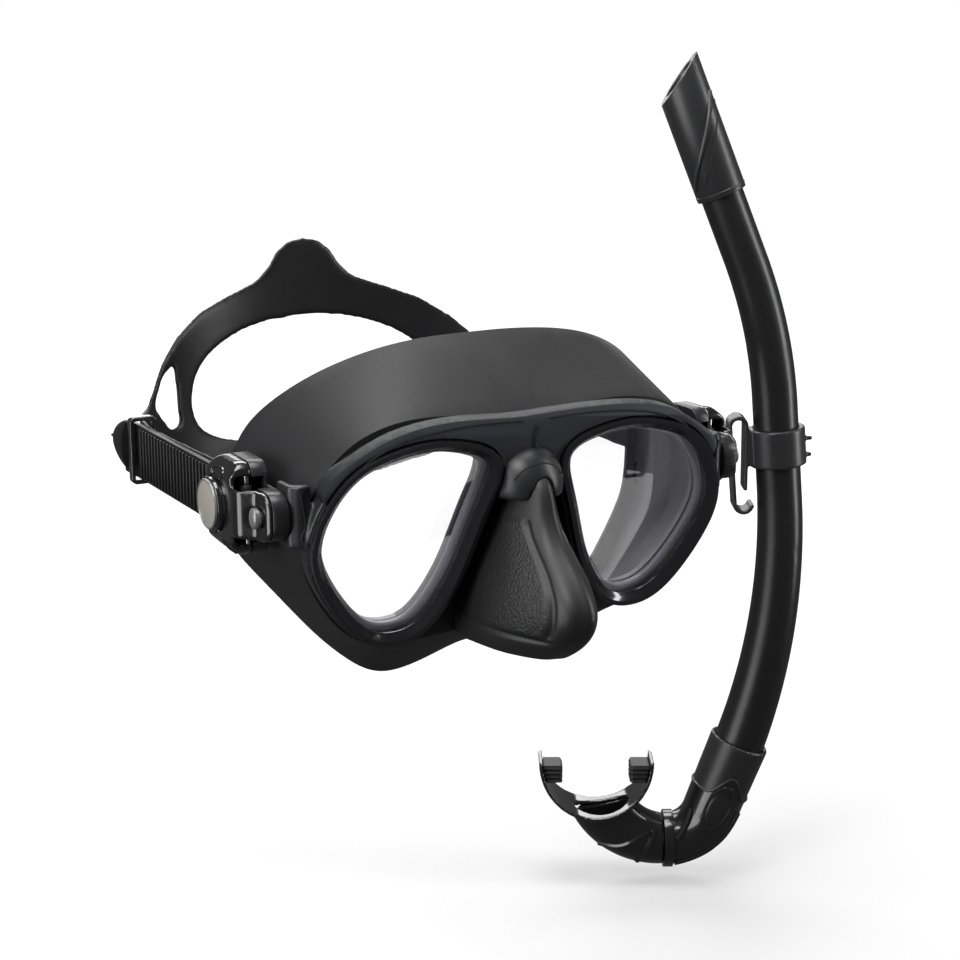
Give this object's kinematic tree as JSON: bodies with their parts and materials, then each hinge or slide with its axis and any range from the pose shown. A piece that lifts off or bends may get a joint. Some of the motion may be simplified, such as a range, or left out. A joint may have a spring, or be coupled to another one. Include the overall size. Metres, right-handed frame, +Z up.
{
  "type": "snorkel mask",
  "caption": "Two-lens diving mask with soft skirt, nose pocket, tilting strap harness with push-button roller buckles, and a J-shaped snorkel with a sliding strap keeper.",
  "frame": {"origin": "middle of the face seal's opening, on the mask's plane of symmetry", "axes": "+Z up, -Y the way the mask looks, +X the wearer's left; the snorkel hangs beside the mask at +X"},
  "size_m": [0.2946, 0.2135, 0.3529],
  "materials": {
    "silicone": "matte moulded silicone",
    "silicone_nose": "fine stippled silicone",
    "frame": "satin dark grey",
    "frame_trim": "satin blue-grey",
    "bezel": "gloss black",
    "lens_glass": "clear tempered glass",
    "gasket": "translucent grey",
    "strap": "matte rubber",
    "keeper_ring": "gloss black",
    "buckle": "polished black",
    "buckle_inner": "satin black",
    "button": "gloss black",
    "disc": "warm grey brushed",
    "rivet": "dull grey",
    "roller": "satin",
    "steel_pin": "bright steel",
    "tube": "satin black",
    "sleeve": "satin black",
    "elbow": "gloss black",
    "badge": "satin black",
    "mouth_silicone": "glossy silicone",
    "bite_rubber": "matte silicone",
    "keeper": "satin"
  },
  "bodies": {
    "mask": {"skirt": "silicone", "seal_lip": "silicone", "nose_pocket": "silicone_nose", "main_frame": "frame", "brow_bar": "frame_trim", "bridge_hood": "frame_trim", "bezel_left": "bezel", "lens_left": "lens_glass", "lens_gasket_left": "gasket", "pivot_rivet_left": "rivet", "bezel_right": "bezel", "lens_right": "lens_glass", "lens_gasket_right": "gasket", "pivot_rivet_right": "rivet"},
    "harness": {"headband": "strap", "buckle_base_left": "buckle_inner", "buckle_cover_left": "buckle", "roller_axle_left": "steel_pin", "pawl_pin_left": "steel_pin", "strap_end_left": "strap", "button_spring_left": "steel_pin", "buckle_base_right": "buckle_inner", "buckle_cover_right": "buckle", "roller_axle_right": "steel_pin", "pawl_pin_right": "steel_pin", "strap_end_right": "strap", "button_spring_right": "steel_pin"},
    "button_left": {"release_button_left": "button", "button_disc_left": "disc"},
    "pawl_lever_left": {"pawl_left": "roller"},
    "strap_roller_left": {"roller_left": "roller"},
    "strap_ring_left": {"keeper_ring_left": "keeper_ring"},
    "button_right": {"release_button_right": "button", "button_disc_right": "disc"},
    "pawl_lever_right": {"pawl_right": "roller"},
    "strap_roller_right": {"roller_right": "roller"},
    "strap_ring_right": {"keeper_ring_right": "keeper_ring"},
    "snorkel": {"snorkel_tube": "tube", "top_sleeve": "sleeve", "elbow": "elbow", "elbow_badge": "badge", "swivel_ring": "elbow"},
    "keeper_clip": {"snorkel_keeper": "keeper"},
    "mouthpiece_turning": {"mouthpiece": "mouth_silicone", "lip_shield": "mouth_silicone", "bite_tab_right": "bite_rubber", "bite_tab_left": "bite_rubber"}
  },
  "joints": [
    {"name": "strap_tilt", "type": "hinge", "parent": "mask", "child": "harness", "pos_m": [0, -0.0385, 0.0125], "axis": [1, 0, 0], "range_deg": [-14, 24]},
    {"name": "button_press_left", "type": "slide", "parent": "harness", "child": "button_left", "axis": [-1, 0, 0], "range_m": [0, 0.0009], "stiffness_N_per_m": 900, "springref_m": -0.001, "deforming": ["button_spring_left"]},
    {"name": "pawl_lift_left", "type": "hinge", "parent": "harness", "child": "pawl_lever_left", "pos_m": [0.0862, -0.0272, 0.0125], "axis": [0, 0, 1], "range_deg": [0, 15]},
    {"name": "roller_spin_left", "type": "hinge", "parent": "harness", "child": "strap_roller_left", "pos_m": [0.0848, -0.019, 0.0124], "axis": [0, 0, 1], "continuous": true},
    {"name": "ring_slide_left", "type": "slide", "parent": "harness", "child": "strap_ring_left", "axis": [0, 1, 0], "range_m": [-0.012, 0.002]},
    {"name": "button_press_right", "type": "slide", "parent": "harness", "child": "button_right", "axis": [1, 0, 0], "range_m": [0, 0.0009], "stiffness_N_per_m": 900, "springref_m": -0.001, "deforming": ["button_spring_right"]},
    {"name": "pawl_lift_right", "type": "hinge", "parent": "harness", "child": "pawl_lever_right", "pos_m": [-0.0862, -0.0272, 0.0125], "axis": [0, 0, -1], "range_deg": [0, 15]},
    {"name": "roller_spin_right", "type": "hinge", "parent": "harness", "child": "strap_roller_right", "pos_m": [-0.0848, -0.019, 0.0124], "axis": [0, 0, 1], "continuous": true},
    {"name": "ring_slide_right", "type": "slide", "parent": "harness", "child": "strap_ring_right", "axis": [0, 1, 0], "range_m": [-0.012, 0.002]},
    {"name": "snorkel_lift_off", "type": "slide", "parent": "mask", "child": "snorkel", "axis": [1, 0, 0], "range_m": [0, 0.12]},
    {"name": "keeper_slide", "type": "slide", "parent": "snorkel", "child": "keeper_clip", "axis": [0.0764, -0.042, -0.9962], "range_m": [-0.007, 0.007]},
    {"name": "mouthpiece_turn", "type": "hinge", "parent": "snorkel", "child": "mouthpiece_turning", "pos_m": [0.14811, 0.08338, -0.19343], "axis": [-0.8763, 0.4818, 0], "range_deg": [-35, 35]}
  ],
  "couplings": [
    {"joint": "pawl_lift_left", "follows": "button_press_left", "rad_per_m": 270},
    {"joint": "pawl_lift_right", "follows": "button_press_right", "rad_per_m": 270}
  ]
}
